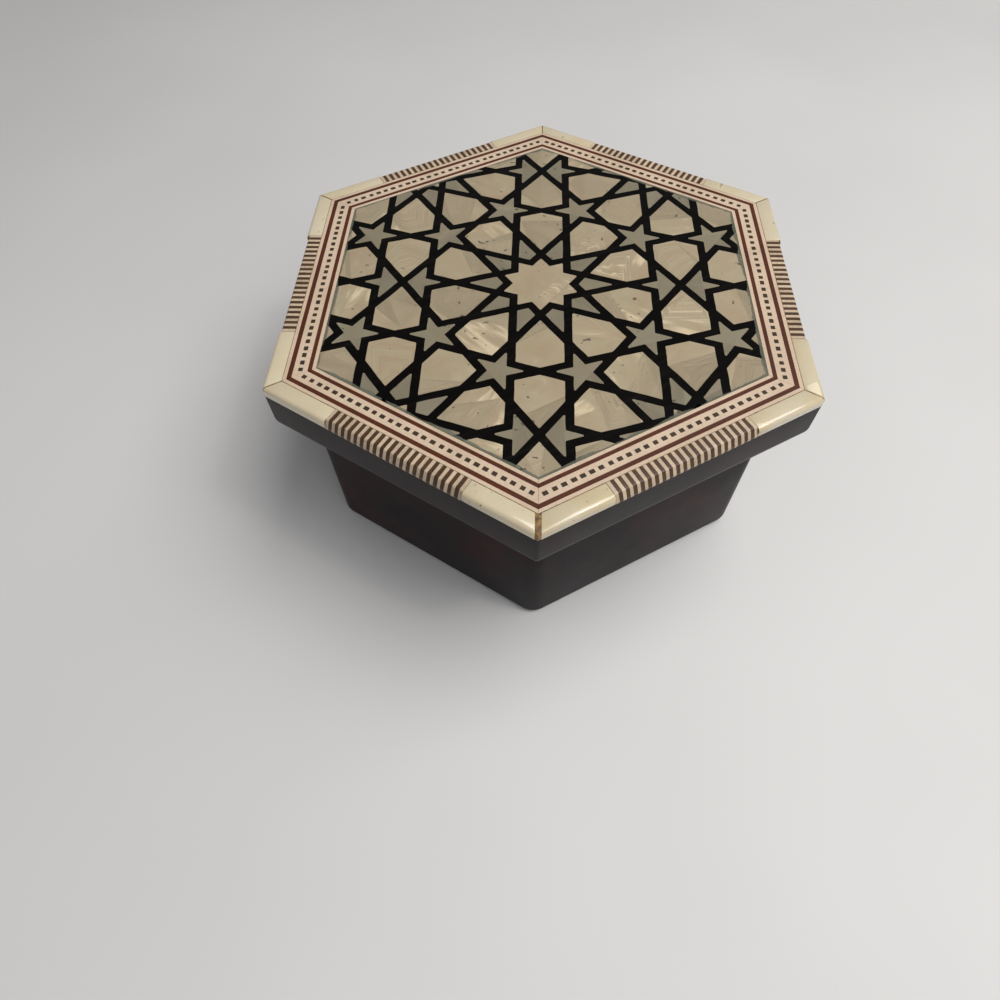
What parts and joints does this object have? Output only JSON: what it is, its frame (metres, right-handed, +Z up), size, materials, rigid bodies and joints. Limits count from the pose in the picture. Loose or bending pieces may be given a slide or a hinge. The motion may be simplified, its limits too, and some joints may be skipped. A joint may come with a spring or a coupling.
{
  "type": "inlaid jewelry box",
  "caption": "Six-sided wooden jewelry box with a hinged overhanging lid inlaid with mother-of-pearl star pattern and bone edging.",
  "frame": {"origin": "middle of the underside, on the surface that the box stands on", "axes": "+Z up, the hinged back side faces +Y, two opposite corners of the six lie along X"},
  "size_m": [0.1402, 0.1216, 0.056],
  "materials": {
    "base_lacquer": "dark brown-black lacquer, satin",
    "lid_lacquer": "charcoal lacquer, satin",
    "raw_wood": "plain softwood board",
    "felt": "thin black felt",
    "velvet": "dark red velvet",
    "brass": "plain brass",
    "bone": "polished ivory-coloured bone",
    "dark_slat": "dark brown hardwood",
    "light_slat": "cream hardwood",
    "cream_veneer": "cream hardwood line",
    "red_brown_veneer": "red-brown hardwood line",
    "warm_shell": "polished warm mother-of-pearl",
    "grey_shell": "polished grey mother-of-pearl",
    "ebony_strap": "polished near-black hardwood"
  },
  "bodies": {
    "base": {"wall_front": "base_lacquer", "wall_front_right": "base_lacquer", "wall_back_right": "base_lacquer", "wall_back": "base_lacquer", "wall_back_left": "base_lacquer", "wall_front_left": "base_lacquer", "bottom_board": "raw_wood", "foot_felt": "felt", "floor_pad": "velvet", "wall_lining_front": "velvet", "wall_lining_front_right": "velvet", "wall_lining_back_right": "velvet", "wall_lining_back": "velvet", "wall_lining_back_left": "velvet", "wall_lining_front_left": "velvet", "hinge_wall_leaf_left": "brass", "hinge_wall_leaf_right": "brass", "hinge_pins": "brass", "hinge_brads_wall": "brass"},
    "lid": {"lid_rail_front": "lid_lacquer", "lid_rail_front_right": "lid_lacquer", "lid_rail_back_right": "lid_lacquer", "lid_rail_back": "lid_lacquer", "lid_rail_back_left": "lid_lacquer", "lid_rail_front_left": "lid_lacquer", "lid_top_board": "raw_wood", "lid_pad": "velvet", "hinge_lid_leaf_left": "brass", "hinge_lid_leaf_right": "brass", "hinge_brads_lid": "brass", "bone_blocks_front": "bone", "bone_blocks_front_right": "bone", "bone_blocks_back_right": "bone", "bone_blocks_back": "bone", "bone_blocks_back_left": "bone", "bone_blocks_front_left": "bone", "dark_slats_front": "dark_slat", "dark_slats_front_right": "dark_slat", "dark_slats_back_right": "dark_slat", "dark_slats_back": "dark_slat", "dark_slats_back_left": "dark_slat", "dark_slats_front_left": "dark_slat", "light_slats_front": "light_slat", "light_slats_front_right": "light_slat", "light_slats_back_right": "light_slat", "light_slats_back": "light_slat", "light_slats_back_left": "light_slat", "light_slats_front_left": "light_slat", "outer_light_line": "cream_veneer", "inner_light_line": "cream_veneer", "dotted_band": "cream_veneer", "outer_dark_line": "red_brown_veneer", "inner_dark_line": "red_brown_veneer", "centre_star": "warm_shell", "edge_tiles": "warm_shell", "petal_tiles": "warm_shell", "kite_tiles": "grey_shell", "small_star_tiles": "grey_shell", "arrow_tiles": "grey_shell", "strapwork_lattice": "ebony_strap"}
  },
  "joints": [
    {"name": "lid_hinge", "type": "hinge", "parent": "base", "child": "lid", "pos_m": [0, 0.0557, 0.04185], "axis": [-1, 0, 0], "range_deg": [0, 120]}
  ]
}
